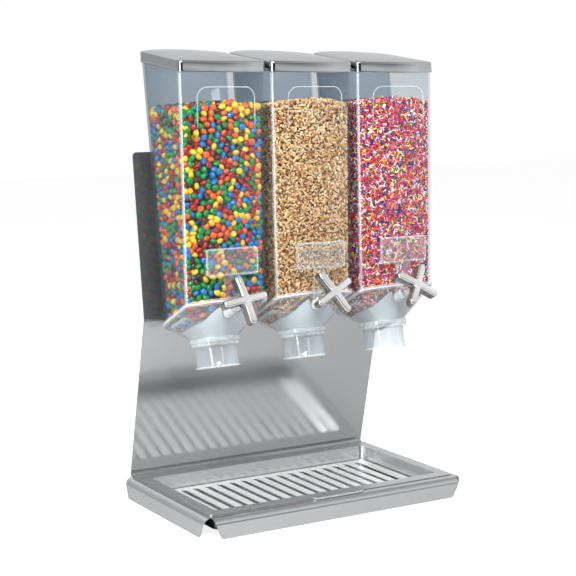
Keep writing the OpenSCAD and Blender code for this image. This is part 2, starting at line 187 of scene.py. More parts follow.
def outline(width, front, back, bulge, inset):
    """Canister outline from above, counter-clockwise from the front left, every wall moved in by inset."""
    a = width / 2 - inset
    f = front + inset
    b = back - 0.6 * inset
    x = np.linspace(-WALL_SHARE, WALL_SHARE, FRONT_POINTS) * a
    front_wall = np.column_stack([x, f - CAN_BOW * (1 - (x / a) ** 2)])
    x = np.linspace(WALL_SHARE, -WALL_SHARE, BACK_POINTS) * a
    back_wall = np.column_stack([x, b + (bulge - 0.4 * inset) * (1 - (x / a) ** 2)])
    r = max(CORNER_R - inset, 3)
    rb = max(BACK_CORNER_R - inset, 3)
    right_front = np.array([a, f])
    right_back = np.array([a, b])
    left_back = np.array([-a, b])
    left_front = np.array([-a, f])
    return np.vstack([
        front_wall,
        fillet(front_wall[-1], right_front, right_back, r, FRONT_CORNER_STEPS),
        fillet(right_front, right_back, back_wall[0], rb, BACK_CORNER_STEPS),
        back_wall,
        fillet(back_wall[-1], left_back, left_front, rb, BACK_CORNER_STEPS),
        fillet(left_back, left_front, front_wall[0], r, FRONT_CORNER_STEPS),
    ])


def rim_ring(cx, inset, up):
    """Ring in the sloping plane of the canister's bottom rim, raised by up."""
    p = outline(CAN_BOTTOM_W, RIM_FRONT_Y, RIM_BACK_Y, CAN_BULGE, inset)
    z = RIM_Z + up - (p[:, 1] - RIM_FRONT_Y) * math.tan(RIM_TILT)
    return np.column_stack([p[:, 0] + cx, p[:, 1], z])


def mouth_ring(cx, inset, up):
    """Ring in the plane of the canister's mouth, raised by up along the way the lid lifts."""
    p = outline(CAN_TOP_W, MOUTH_FRONT_Y, MOUTH_BACK_Y, CAN_BULGE, inset)
    z = MOUTH_Z + (p[:, 1] - MOUTH_FRONT_Y) * math.tan(MOUTH_TILT)
    ring = np.column_stack([p[:, 0] + cx, p[:, 1], z])
    return ring + up * np.array([0, math.sin(LIFT_LEAN), math.cos(LIFT_LEAN)])


def wall_ring(cx, inset, t):
    """Ring of the canister wall, t from 0 at the rim to 1 at the mouth."""
    low = rim_ring(cx, inset, 0)
    return low + t * (mouth_ring(cx, inset, 0) - low)


def neck_ring(cx, radius, along):
    """Circle about the chute axis, with one point towards each point of the rim."""
    rim = rim_ring(cx, 0, 0)
    angle = np.arctan2(rim[:, 1] - RIM_MIDDLE_Y, rim[:, 0] - cx)
    local = np.column_stack([radius * np.cos(angle), radius * np.sin(angle), np.full(len(rim), along)])
    return chute_frame(cx, local)


def about_x(angle):
    """Matrix that turns points about X."""
    c = math.cos(angle)
    s = math.sin(angle)
    return np.array([[1, 0, 0], [0, c, -s], [0, s, c]])


def turned_x(points, angle, origin):
    """Points turned about X by angle, then moved to origin."""
    return np.asarray(points, float) @ about_x(angle).T + np.array(origin)


def chute_frame(cx, points):
    return turned_x(points, -CHUTE_TILT, (cx, CHUTE_Y, CHUTE_Z))


def shaft_frame(cx, points):
    return turned_x(points, math.pi / 2 - SHAFT_TILT, (cx, SHAFT_Y, SHAFT_Z))


def to_shaft_frame(cx, points):
    """The same points in the shaft's own frame: across, up, and along the shaft to the front."""
    return (points - np.array([cx, SHAFT_Y, SHAFT_Z])) @ about_x(math.pi / 2 - SHAFT_TILT)


def label_frame(cx, points):
    return turned_x(points, math.pi / 2 - LABEL_LEAN, (cx, LABEL_Y, LABEL_Z))


# ---------- meshes ----------


class Shape:
    """Vertices and faces of one piece, gathered before its mesh is made."""

    def __init__(self):
        self.verts = []
        self.faces = []
        self.mats = []
        self.count = 0

    def skin(self, rings, closed=False, mat=0, mats=None, start_cap=None, end_cap=None):
        """Quads between rings of equal length. closed joins the last ring to the first. mats gives each
        band its own material, and start_cap and end_cap are the materials of the end faces, if any."""
        n = len(rings[0])
        bands = len(rings) if closed else len(rings) - 1
        faces = []
        for low in range(bands):
            high = (low + 1) % len(rings)
            for i in range(n):
                j = (i + 1) % n
                faces.append([low * n + i, low * n + j, high * n + j, high * n + i])
        self.mats += [kind for kind in mats or [mat] * bands for _ in range(n)]
        if start_cap is not None:
            faces.append(list(range(n - 1, -1, -1)))
            self.mats.append(start_cap)
        if end_cap is not None:
            faces.append([(len(rings) - 1) * n + i for i in range(n)])
            self.mats.append(end_cap)
        self.faces += [[i + self.count for i in face] for face in faces]
        self.verts.append(np.vstack(rings))
        self.count += len(rings) * n

    def make(self, name, body, materials, replaces=None, sharp=35):
        """The piece itself, in the scene and on its body, standing for the CAD node that it replaces."""
        mesh = bpy.data.meshes.new(name)
        mesh.from_pydata((np.vstack(self.verts) * MM).tolist(), [], self.faces)
        mesh.polygons.foreach_set("material_index", self.mats)
        mesh.validate()
        for material in materials:
            mesh.materials.append(material)
        mesh.shade_smooth()
        mesh.set_sharp_from_angle(angle=math.radians(sharp))
        piece = bpy.data.objects.new(name, mesh)
        bpy.context.scene.collection.objects.link(piece)
        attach(piece, body)
        if replaces:
            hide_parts(replaces)


def lathe(profile, place, count=96):
    """Rings about the local Z axis for a profile of (radius, height), put in place by place(points)."""
    angle = np.linspace(0, 2 * math.pi, count, endpoint=False)
    circle = np.column_stack([np.cos(angle), np.sin(angle)])
    rings = []
    for radius, height in profile:
        rings.append(place(np.column_stack([circle * radius, np.full(count, height)])))
    return rings


def rounded_rect(width, height, radius, inset, count=6):
    """Rounded rectangle about the origin, counter-clockwise, moved in by inset."""
    x = width / 2 - radius
    y = height / 2 - radius
    r = max(radius - inset, 0.2)
    shift = inset - (radius - r)
    x -= shift
    y -= shift
    return np.vstack([
        arc((x, y), r, 0, 90, count),
        arc((-x, y), r, 90, 180, count),
        arc((-x, -y), r, 180, 270, count),
        arc((x, -y), r, 270, 360, count),
    ])


def flat(points, height):
    """2-D points as 3-D ones at that local height."""
    return np.column_stack([points, np.full(len(points), height)])


# ---------- materials ----------


class Nodes:
    """Short calls for the nodes of one tree."""

    def __init__(self, tree):
        self.tree = tree

    def node(self, kind, sockets=None, **values):
        """New node. sockets gives its inputs, by name or number, a value or the output to link from."""
        made = self.tree.nodes.new("ShaderNode" + kind)
        for key, value in values.items():
            setattr(made, key, value)
        for key, value in (sockets or {}).items():
            if isinstance(value, bpy.types.NodeSocket):
                self.link(value, made.inputs[key])
            else:
                made.inputs[key].default_value = value
        return made

    def link(self, a, b):
        self.tree.links.new(a, b)

    def ramp(self, factor, stops):
        """Colour ramp: stops are (place, colour)."""
        ramp = self.node("ValToRGB", {"Fac": factor})
        while len(ramp.color_ramp.elements) < len(stops):
            ramp.color_ramp.elements.new(0.5)
        for element, (place, colour) in zip(ramp.color_ramp.elements, stops):
            element.position = place
            element.color = (*colour, 1)
        return ramp.outputs["Color"]

    def map_range(self, value, low, high, start=0.0, end=1.0):
        """The value's stretch from start to end, spread over low to high."""
        sockets = {"Value": value, "From Min": start, "From Max": end, "To Min": low, "To Max": high}
        return self.node("MapRange", sockets).outputs["Result"]

    def math(self, operation, first, second):
        return self.node("Math", {0: first, 1: second}, operation=operation).outputs["Value"]

    def mix_shader(self, share, first, second):
        """The first shader, with share of the second in its place."""
        return self.node("MixShader", {"Fac": share, 1: first, 2: second}).outputs["Shader"]


class Mat(Nodes):
    """A node material: its Principled shader with some sockets set, and what varies over the surface."""

    def __init__(self, name, **values):
        self.material = bpy.data.materials.new(name)
        self.material.use_nodes = True
        super().__init__(self.material.node_tree)
        self.shader = self.tree.nodes["Principled BSDF"]
        for key, value in values.items():
            self.shader.inputs[key.replace("_", " ")].default_value = value

    def noise(self, scale, detail=3.0, stretch=(1, 1, 1), roughness=0.5):
        """Noise over the object's own space, in cycles per metre."""
        where = self.node("TexCoord").outputs["Object"]
        place = self.node("Mapping", {"Scale": stretch, "Vector": where}).outputs["Vector"]
        sockets = {"Vector": place, "Scale": scale, "Detail": detail, "Roughness": roughness}
        return self.node("TexNoise", sockets).outputs["Fac"]

    def spread(self, factor, low, high):
        """Factor 0.3 to 0.7, which is where noise lies, spread over low to high."""
        return self.map_range(factor, low, high, 0.3, 0.7)

    def surface(self, tone, stops, rough, relief, depth):
        """Colour by tone, the roughness given, and a bump by relief."""
        self.link(self.ramp(tone, stops), self.shader.inputs["Base Color"])
        self.link(rough, self.shader.inputs["Roughness"])
        self.bump(relief, depth)

    def bump(self, relief, depth):
        bump = self.node("Bump", {"Strength": 1.0, "Distance": depth, "Height": relief})
        self.link(bump.outputs["Normal"], self.shader.inputs["Normal"])

    def see_through(self, tint, solid, edge, shine):
        """Mixes the shader with clear: solid is its share head on, edge its share at a grazing angle.
        Over both lies a mirror whose share is shine head on and rises towards the edges."""
        clear = self.node("BsdfTransparent", {"Color": (*tint, 1)}).outputs["BSDF"]
        mirror = self.node("BsdfGlossy", {"Roughness": 0.05}).outputs["BSDF"]
        facing = self.node("LayerWeight", {"Blend": 0.28}).outputs["Facing"]
        plastic = self.mix_shader(self.map_range(facing, solid, edge), clear, self.shader.outputs["BSDF"])
        both = self.mix_shader(self.map_range(facing, shine, 4 * shine), plastic, mirror)
        self.link(both, self.tree.nodes["Material Output"].inputs["Surface"])


def three_tones(base, dark, light):
    """Ramp stops from dark times a colour, through the colour, to light times it."""
    darker = tuple(dark * c for c in base)
    lighter = tuple(min(1, light * c) for c in base)
    return [(0.3, darker), (0.5, base), (0.72, lighter)]


def brushed_steel(name, base, stretch, roughness=(0.22, 0.36), metallic=1.0, smear=0.0):
    """Stainless sheet with fine brush lines, drawn out along the axis where stretch is smallest."""
    m = Mat(name, Metallic=metallic, Anisotropic=smear)
    lines = m.noise(2600, 4, stretch, 0.65)
    patches = m.noise(6, 2)
    half = (roughness[0] * 0.5, roughness[1] * 0.5)
    rough = m.math("ADD", m.spread(lines, *half), m.spread(patches, *half))
    m.surface(lines, three_tones(base, 0.96, 1.03), rough, lines, 0.0000015)
    return m.material


def clear_plastic(name, base, tint, solid, edge, roughness=(0.03, 0.08), shine=0.03):
    """Clear moulded plastic: tinted, glossy, more solid at grazing angles, with a faint flow ripple."""
    m = Mat(name, IOR=1.5)
    ripple = m.noise(22, 2)
    fine = m.noise(420, 2)
    pale = tuple(min(1, c * 1.06) for c in base)
    m.surface(ripple, [(0.3, base), (0.7, pale)], m.spread(fine, *roughness), ripple, 0.0004)
    m.see_through(tint, solid, edge, shine)
    return m.material


def moulded(name, base, roughness, grain, depth, metallic=0.0, coat=0.0):
    """Opaque moulded plastic or rubber with a fine grain, or with metallic a plated one."""
    m = Mat(name, Metallic=metallic, Coat_Weight=coat, Coat_Roughness=0.12)
    fine = m.noise(grain, 3)
    broad = m.noise(30, 2)
    dark = tuple(0.9 * c for c in base)
    m.surface(broad, [(0.3, dark), (0.7, base)], m.spread(fine, *roughness), fine, depth)
    return m.material


def candy_shell(name, base):
    """Sugar shell: saturated, glossy under a thin polish, slightly uneven."""
    m = Mat(name, Coat_Weight=0.7, Coat_Roughness=0.08, Specular_IOR_Level=0.45)
    patches = m.noise(260, 3)
    m.surface(patches, three_tones(base, 0.6, 1.05), m.spread(patches, 0.14, 0.28), patches, 0.00012)
    return m.material


def toasted(name, base):
    """Dry toasted grain: matt, mottled darker along its ridges."""
    m = Mat(name, Specular_IOR_Level=0.2)
    mottle = m.noise(520, 4, roughness=0.6)
    dark = tuple(0.45 * c for c in base)
    light = tuple(min(1, 1.25 * c + 0.02) for c in base)
    stops = [(0.32, dark), (0.5, base), (0.7, light)]
    m.surface(mottle, stops, m.spread(mottle, 0.45, 0.7), mottle, 0.0004)
    return m.material


def mixed_core(name, colours, scale, shade):
    """Inside of a heap: patches of the heap's own colours, darkened by shade as painted shade that shows
    in the gaps between the items.
    """
    m = Mat(name, Roughness=0.7)
    where = m.node("TexCoord").outputs["Object"]
    cells = m.node("TexVoronoi", {"Vector": where, "Scale": scale})
    parts = m.node("SeparateColor", {"Color": cells.outputs["Color"]})
    stops = [(i / len(colours), tuple(shade * c for c in colour)) for i, colour in enumerate(colours)]
    tones = m.ramp(parts.outputs["Red"], stops)
    tones.node.color_ramp.interpolation = "CONSTANT"
    m.link(tones, m.shader.inputs["Base Color"])
    m.bump(cells.outputs["Distance"], 0.002)
    return m.material


CANDY = {
    "red": (0.32, 0.006, 0.008),
    "orange": (0.60, 0.095, 0.008),
    "yellow": (0.66, 0.43, 0.014),
    "green": (0.007, 0.19, 0.035),
    "blue": (0.005, 0.135, 0.36),
    "brown": (0.065, 0.016, 0.008),
}
CANDY_SHARE = (0.15, 0.17, 0.2, 0.22, 0.19, 0.07)
GRAIN = {
    "pale": (0.72, 0.53, 0.31),
    "golden": (0.68, 0.42, 0.19),
    "tan": (0.56, 0.29, 0.11),
    "dark": (0.26, 0.10, 0.03),
}
GRAIN_SHARE = (0.26, 0.34, 0.27, 0.13)
SPRINKLE = {
    "pink": (0.68, 0.08, 0.18),
    "red": (0.56, 0.010, 0.02),
    "white": (0.82, 0.77, 0.72),
    "orange": (0.90, 0.20, 0.03),
    "yellow": (0.92, 0.66, 0.08),
    "navy": (0.025, 0.03, 0.22),
    "green": (0.03, 0.30, 0.07),
}
SPRINKLE_SHARE = (0.25, 0.25, 0.16, 0.11, 0.06, 0.14, 0.03)


def make_materials():
    """All finishes but the contents', by short name."""
    smoke = (0.15, 0.19, 0.22)
    milk = (0.80, 0.84, 0.86)
    knob_rest = (1100, 0.000004, 0.95)
    return {
        "stand": brushed_steel(
            "stand_steel_brushed", (0.50, 0.51, 0.515), (1, 0.03, 0.03), (0.11, 0.16),
            metallic=0.9, smear=0.35),
        "tray": brushed_steel(
            "tray_steel_brushed", (0.62, 0.63, 0.635), (0.03, 1, 1), (0.22, 0.34), metallic=0.94),
        "grate": brushed_steel(
            "grate_steel_satin", (0.84, 0.84, 0.84), (1, 0.03, 1), (0.3, 0.42), metallic=0.65),
        "hanger": brushed_steel("hanger_steel", (0.55, 0.56, 0.57), (1, 1, 0.04)),
        "fastener": brushed_steel("fastener_steel", (0.5, 0.5, 0.5), (1, 1, 1), (0.25, 0.4)),
        "shaft": brushed_steel("shaft_steel", (0.6, 0.6, 0.6), (1, 0.05, 1), (0.18, 0.3)),
        "canister": clear_plastic("canister_clear", smoke, (0.91, 0.925, 0.935), 0.01, 0.28, shine=0.006),
        "canister_back": clear_plastic("canister_clear_back", smoke, (0.64, 0.69, 0.73), 0.05, 0.34),
        # corner: paler, more solid clear plastic on a strip of each canister's front left corner, a
        # painted highlight
        "corner": clear_plastic("canister_corner", (0.60, 0.645, 0.67), (0.93, 0.945, 0.95), 0.20, 0.5),
        "edge": clear_plastic("clear_moulded_edge", milk, (0.90, 0.925, 0.94), 0.22, 0.55),
        "funnel": clear_plastic("funnel_clear", (0.66, 0.70, 0.72), (0.95, 0.96, 0.965), 0.05, 0.3),
        "chute": clear_plastic("chute_clear", (0.62, 0.67, 0.71), (0.93, 0.945, 0.955), 0.06, 0.38),
        "label": clear_plastic(
            "label_clear", (0.78, 0.81, 0.83), (0.96, 0.97, 0.975), 0.03, 0.2, shine=0.015),
        "label_edge": clear_plastic("label_edge", milk, (0.90, 0.92, 0.93), 0.10, 0.4),
        "lid": moulded("lid_silver", (0.50, 0.515, 0.52), (0.08, 0.13), 900, 0.000004, 1.0, 0.2),
        "seal": moulded("seal_silicone", (0.78, 0.79, 0.78), (0.45, 0.6), 700, 0.00003),
        "housing": clear_plastic(
            "housing_frosted", (0.70, 0.745, 0.775), (0.86, 0.90, 0.92), 0.62, 0.85, (0.35, 0.5)),
        "wheel": moulded("wheel_silicone", (0.74, 0.75, 0.74), (0.4, 0.55), 700, 0.00003),
        "bush": moulded("bush_plastic", (0.8, 0.8, 0.79), (0.35, 0.5), 800, 0.00002),
        # knob sides and back: a darker copy of the knob's silver, painted shade on the faces that turn
        # from the light
        "knob_side": moulded("knob_silver_painted_shade_side", (0.34, 0.33, 0.31), (0.16, 0.24), *knob_rest, 0.1),
        "knob": moulded("knob_silver", (0.80, 0.79, 0.79), (0.11, 0.17), *knob_rest, 0.2),
    }


# ---------- carried-over CAD nodes ----------


def finish_node(name, material, bevel=0.0):
    """Gives a CAD node its material, joined vertices and softly broken edges."""
    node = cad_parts[name]
    node.data.materials.clear()
    node.data.materials.append(material)
    if bevel:
        weld = node.modifiers.new("weld", "WELD")
        weld.merge_threshold = 0.00001
        edge = node.modifiers.new("edge", "BEVEL")
        edge.width = bevel
        edge.segments = 2
        edge.limit_method = "ANGLE"
        edge.angle_limit = math.radians(38)
        edge.use_clamp_overlap = True
        edge.harden_normals = True


# ---------- canister, lid, label holder ----------


def canister(side, mats):
    """Tub with a bowed front and bulged back, a rolled mouth edge and a flange at its bottom rim."""
    cx = centre_x(side)
    shape = Shape()
    wall = [wall_ring(cx, 0, t) for t in (0.012, 0.03, 0.25, 0.5, 0.75, 0.985)]
    flange = (
        (CAN_WALL, 0), (0.4 - FLANGE_OUT, 0), (-FLANGE_OUT, 0.4),
        (-FLANGE_OUT, FLANGE_T - 0.6), (0.6 - FLANGE_OUT, FLANGE_T), (-0.8, FLANGE_T),
    )
    lip = ((0, -0.4), (0.5, 0), (CAN_WALL - 0.5, 0), (CAN_WALL, -0.4))
    rings = [rim_ring(cx, *place) for place in flange] + wall
    rings += [mouth_ring(cx, *place) for place in lip]
    rings += [wall_ring(cx, CAN_WALL, t) for t in (0.75, 0.5, 0.25)]
    kinds = [1, 1, 1, 1, 1] + [0] * 7 + [1, 1, 1] + [0] * 4
    shape.skin(rings, closed=True, mats=kinds)
    # Of the clear faces, those behind take material 2, and a strip of the front left corner takes 3, a
    # paler, more solid plastic that paints the corner's highlight
    back_start = FRONT_POINTS + FRONT_CORNER_STEPS + 1
    back_end = back_start + BACK_POINTS + 2 * BACK_CORNER_STEPS + 1
    highlight_strip_start = back_end + 3
    for face, kind in enumerate(shape.mats):
        column = face % len(rings[0])
        if kind == 0 and back_start <= column < back_end:
            shape.mats[face] = 2
        elif kind == 0 and highlight_strip_start <= column < highlight_strip_start + 5:
            shape.mats[face] = 3
    front_bead(shape, cx)
    materials = [mats[name] for name in ("canister", "edge", "canister_back", "corner")]
    shape.make(
        "canister_shell_" + side, "canister_unit_" + side, materials, "canister_" + side)


def front_wall_y(x, z):
    """Y of the canister's outer front wall at x from its middle and height z."""
    bow = CAN_BOW * (1 - (2 * x / CAN_TOP_W) ** 2)
    low_y = RIM_FRONT_Y - bow
    high_y = MOUTH_FRONT_Y - bow
    low_z = RIM_Z + bow * math.tan(RIM_TILT)
    high_z = MOUTH_Z - bow * math.tan(MOUTH_TILT)
    return low_y + (z - low_z) / (high_z - low_z) * (high_y - low_y)


def front_bead(shape, cx):
    """Raised arch moulded into the upper front wall, a little to the right of its middle."""
    middle_x = cx + 2.5
    sunk = 0.35
    half_w = 45.0
    top = 610.0
    bottom = 548.0
    corner = 15.0
    bead_r = 0.6
    inner_x = half_w - corner
    path = np.vstack([
        np.column_stack([np.full(8, half_w), np.linspace(bottom, top - corner, 8, endpoint=False)]),
        arc((inner_x, top - corner), corner, 0, 90, 8),
        np.column_stack([np.linspace(inner_x, -inner_x, 12)[1:-1], np.full(10, top)]),
        arc((-inner_x, top - corner), corner, 90, 180, 8),
        np.column_stack([np.full(8, -half_w), np.linspace(top - corner, bottom, 9)[1:]]),
    ])
    along = unit(np.gradient(path, axis=0))
    angle = np.linspace(0, 2 * math.pi, 8, endpoint=False)
    rings = []
    for k, ((x, z), (dx, dz)) in enumerate(zip(path, along)):
        size = bead_r * min(1, (min(k, len(path) - 1 - k) + 0.15) / 3)
        y = front_wall_y(x, z)
        side = np.outer(np.cos(angle) * size, (-dz, 0, dx))
        out = np.outer(np.sin(angle) * size, (0, -1, 0))
        rings.append(np.array([middle_x + x, y + sunk, z]) + side + out)
    shape.skin(rings, mat=1, start_cap=1, end_cap=1)


def lid(side, mats):
    """Push-on lid: a band with a rolled lower edge, a rounded shoulder and a crowned top."""
    cx = centre_x(side)
    out = -LID_GAP - LID_T
    roof = LID_T + 0.3
    shoulder = mouth_ring(cx, out + 1.8, roof)
    middle = shoulder.mean(axis=0)
    lift = np.array([0, math.sin(LIFT_LEAN), math.cos(LIFT_LEAN)])
    hem = roof - LID_BAND
    band = (
        (-LID_GAP, 0.3), (-LID_GAP, hem + 0.4), (-LID_GAP - 0.4, hem), (out + 0.3, hem), (out, hem + 0.4),
        (out, hem + 2.2), (out + 0.35, hem + 2.7), (out + 0.35, roof - 2.0), (out + 0.6, roof - 0.9),
        (out + 1.1, roof - 0.2),
    )
    rings = [mouth_ring(cx, *place) for place in band] + [shoulder]
    for k in (0.985, 0.97, 0.955, 0.93, 0.88, 0.8, 0.68, 0.52, 0.35, 0.18, 0.05):
        groove = -0.5 if k == 0.97 else 0.0
        rise = LID_CROWN * (1 - k ** 2.6) + groove
        rings.append(middle + k * (shoulder - middle) + rise * lift)
    shape = Shape()
    shape.skin(rings, end_cap=0)
    ceiling = rings[0]
    halfway = middle + 0.5 * (ceiling - middle)
    centre = middle + 0.02 * (ceiling - middle) - LID_T * lift
    shape.skin([ring[::-1] for ring in (ceiling, halfway, centre)], end_cap=0)
    shape.make("lid_cover_" + side, "lid_unit_" + side, [mats["lid"]], "lid_" + side)


def label_holder(side, mats):
    """Clear plate with a raised frame, on a stem that ends in an eye around the shaft boss."""
    cx = centre_x(side)
    shape = Shape()
    label_plate(shape, cx)
    label_eye(shape, cx)
    label_rim(shape, cx)
    materials = [mats["label"], mats["label_edge"]]
    replaced = "label_holder_" + side
    shape.make("label_plate_" + side, "canister_unit_" + side, materials, replaced, 25)


def label_plate(shape, cx):
    """Plate and stem in one outline, the stem's foot hollowed to fit the eye."""
    half = STEM_W / 2
    low = -LABEL_H / 2
    meet = math.degrees(math.asin(half / EYE_R))
    neck = arc((0, -EYE_DROP), EYE_R, 90 + meet, 90 - meet, 8)
    rings = []
    for inset, height in ((0.35, 0), (0, 0.35), (0, PLATE_T - 0.35), (0.35, PLATE_T)):
        plate = rounded_rect(LABEL_W, LABEL_H, LABEL_CORNER, inset)
        bottom = len(plate) * 3 // 4
        stem_left = np.array([[-half + inset, low + inset - 0.01]])
        stem_right = np.array([[half - inset, low + inset - 0.01]])
        outline_2d = np.vstack([plate[:bottom], stem_left, neck, stem_right, plate[bottom:]])
        rings.append(label_frame(cx, flat(outline_2d, height)))
    shape.skin(rings, mat=1, start_cap=0, end_cap=0)


def label_eye(shape, cx):
    """Ring around the boss. Its hole is taller than wide, as the boss passes through it at a slant."""
    angle = np.linspace(0, 2 * math.pi, 64, endpoint=False)
    circle = np.column_stack([np.cos(angle), np.sin(angle)])
    drop = np.array([0, -EYE_DROP])
    hole = circle * (BOSS_R + 0.1, BOSS_R / math.cos(SHAFT_TILT - LABEL_LEAN) + 0.1) + drop
    rim = circle * EYE_R + drop
    inner = circle * (EYE_R - 0.35) + drop
    rings = [flat(hole, 0), flat(inner, 0), flat(rim, 0.35), flat(rim, PLATE_T - 0.35)]
    rings += [flat(inner, PLATE_T), flat(hole, PLATE_T)]
    shape.skin([label_frame(cx, r) for r in rings], closed=True, mats=[0, 1, 1, 1, 0, 1])


def label_rim(shape, cx):
    """Raised frame along the plate's edge that holds a card."""
    high = PLATE_T + 1.2
    outer = ((0.3, PLATE_T), (0.3, high - 0.35), (0.65, high))
    inner = ((2.1, high), (2.5, high - 0.35), (2.5, PLATE_T))
    rings = []
    for inset, height in outer + inner:
        edge = rounded_rect(LABEL_W, LABEL_H, LABEL_CORNER, inset)
        rings.append(label_frame(cx, flat(edge, height)))
    shape.skin(rings, closed=True, mat=1)


# ---------- funnel, chute, knob ----------


def funnel(side, mats):
    """Funnel from the sloping rim to the round collar, with the boss that carries the shaft."""
    cx = centre_x(side)
    top = -GASKET_T
    outer_rim = rim_ring(cx, 0, top - FLANGE_T)
    inner_rim = rim_ring(cx, FUNNEL_WALL, top)
    outer_neck = neck_ring(cx, NECK_R, COLLAR_TO)
    inner_neck = neck_ring(cx, NECK_R - FUNNEL_WALL, COLLAR_TO)
    flange = (
        (0.4 - FLANGE_OUT, top), (-FLANGE_OUT, top - 0.4), (-FLANGE_OUT, top - FLANGE_T + 0.6),
        (0.6 - FLANGE_OUT, top - FLANGE_T), (-0.6, top - FLANGE_T),
    )
    collar = (
        (NECK_R + 0.5, COLLAR_TO), (COLLAR_R - 0.5, COLLAR_TO), (COLLAR_R, COLLAR_TO - 0.5),
        (COLLAR_R, COLLAR_FROM + 0.5), (COLLAR_R - 0.5, COLLAR_FROM), (NECK_R - FUNNEL_WALL, COLLAR_FROM),
    )
    rings = [rim_ring(cx, *place) for place in flange]
    rings += [outer_rim + t * (outer_neck - outer_rim) for t in (0.02, 0.2, 0.4, 0.6, 0.8, 0.97)]
    rings += [neck_ring(cx, *place) for place in collar]
    rings += [inner_neck + t * (inner_rim - inner_neck) for t in (0, 0.25, 0.5, 0.75, 1.0)]
    kinds = [1, 1, 1, 1, 1] + [0] * 5 + [1, 1, 1, 1, 1, 1, 0] + [0] * 4 + [1]
    shape = Shape()
    shape.skin(rings, closed=True, mats=kinds)
    profile = [
        (BUSH_R, BOSS_FROM), (BOSS_R, BOSS_FROM), (BOSS_R, BOSS_END - 0.6),
        (BOSS_R - 0.6, BOSS_END), (BUSH_R + 0.3, BOSS_END), (BUSH_R, BOSS_END - 0.3),
    ]
    boss = lathe(profile, lambda p: shaft_frame(cx, from_wall(p)), 64)
    shape.skin(boss, closed=True, mats=[0, 0, 1, 1, 1, 0])
    materials = [mats["funnel"], mats["edge"]]
    shape.make("funnel_shell_" + side, "canister_unit_" + side, materials, "funnel_" + side)


def from_wall(points):
    """Slants the boss's inner end so that it starts in the funnel's front wall all round."""
    inner = points[:, 2] <= BOSS_FROM
    return points + np.outer(np.where(inner, BOSS_SLANT * points[:, 1], 0), (0, 0, 1))


def skirt_share(x, y):
    """Share of the funnel's wall that the frosted skirt covers, by the rim's x about its middle and y."""
    rise = np.clip(1 - np.abs(x) / 58, 0, 1)
    front = 0.48 * rise * rise * (3 - 2 * rise) * np.clip((-40 - y) / 10, 0, 1)
    under_shaft = (np.abs(x) < 9) & (y < -40)
    return np.where(under_shaft, 0.55, 0.44 + front)


def housing_skirt(side, mats):
    """Frosted wall inside the funnel, high in front but for a gap under the shaft."""
    cx = centre_x(side)
    edges = []
    for gap in (2.0, 0.8):
        low = neck_ring(cx, NECK_R - FUNNEL_WALL - gap, COLLAR_TO)
        high = rim_ring(cx, FUNNEL_WALL + gap, -GASKET_T)
        share = skirt_share(high[:, 0] - cx, high[:, 1])[:, None]
        edges += [low + 0.02 * (high - low), low + share * (high - low)]
    in_low, in_high, out_low, out_high = edges
    crest = (in_high + out_high) / 2 + (0, 0, 0.4)
    shape = Shape()
    shape.skin([out_low, out_high, crest, in_high, in_low], closed=True)
    shape.make("housing_skirt_" + side, "canister_unit_" + side, [mats["housing"]])


def chute(side, mats):
    """Round outlet with a flange under the collar and a lip at its lower edge."""
    cx = centre_x(side)
    end = CHUTE_LEN
    top = CHUTE_LEN + CHUTE_FLANGE_T
    inner = CHUTE_R - CHUTE_WALL
    profile = [
        (inner, 0.4), (inner + 0.4, 0), (CHUTE_R + 1.1, 0), (CHUTE_R + 1.6, 0.5),
        (CHUTE_R + 1.6, 1.7), (CHUTE_R + 1.1, 2.2), (CHUTE_R + 0.4, 2.5), (CHUTE_R, 3.2),
        (CHUTE_R, end - 1.2), (CHUTE_R + 0.8, end - 0.2), (CHUTE_FLANGE_R - 0.5, end),
        (CHUTE_FLANGE_R, end + 0.5), (CHUTE_FLANGE_R, top - 0.5), (CHUTE_FLANGE_R - 0.5, top),
        (inner, top),
    ]
    kinds = [1, 1, 1, 1, 1, 1, 0, 0, 1, 1, 1, 1, 1, 1, 0]
    shape = Shape()
    shape.skin(lathe(profile, lambda p: chute_frame(cx, p)), closed=True, mats=kinds)
    materials = [mats["chute"], mats["edge"]]
    shape.make("chute_tube_" + side, "canister_unit_" + side, materials, "chute_" + side)


def cross_outline(inset):
    """Outline of the knob's four arms, counter-clockwise, moved in by inset."""
    half = ARM_W / 2
    notch = 2.2
    reach = ARM_LEN - half
    side = half - inset
    steps = np.linspace(reach, half + notch, 6)[1:-1]
    arm = np.vstack([
        arc((reach, 0), side, -90, 90, 14),
        np.column_stack([steps, np.full(4, side)]),
        arc((half + notch, half + notch), notch + inset, -90, -180, 6),
        np.column_stack([np.full(4, side), steps[::-1]]),
    ])
    turned = []
    for quarter in range(4):
        c = round(math.cos(quarter * math.pi / 2))
        s = round(math.sin(quarter * math.pi / 2))
        turned.append(arm @ np.array([[c, s], [-s, c]]))
    return np.vstack(turned)


def crowned(points):
    """Lets the knob's face and back bend away to the rear towards the ends of its arms."""
    far = np.hypot(points[:, 0], points[:, 1]) / ARM_LEN
    return points - np.outer(KNOB_CROWN * far ** 2, (0, 0, 1))


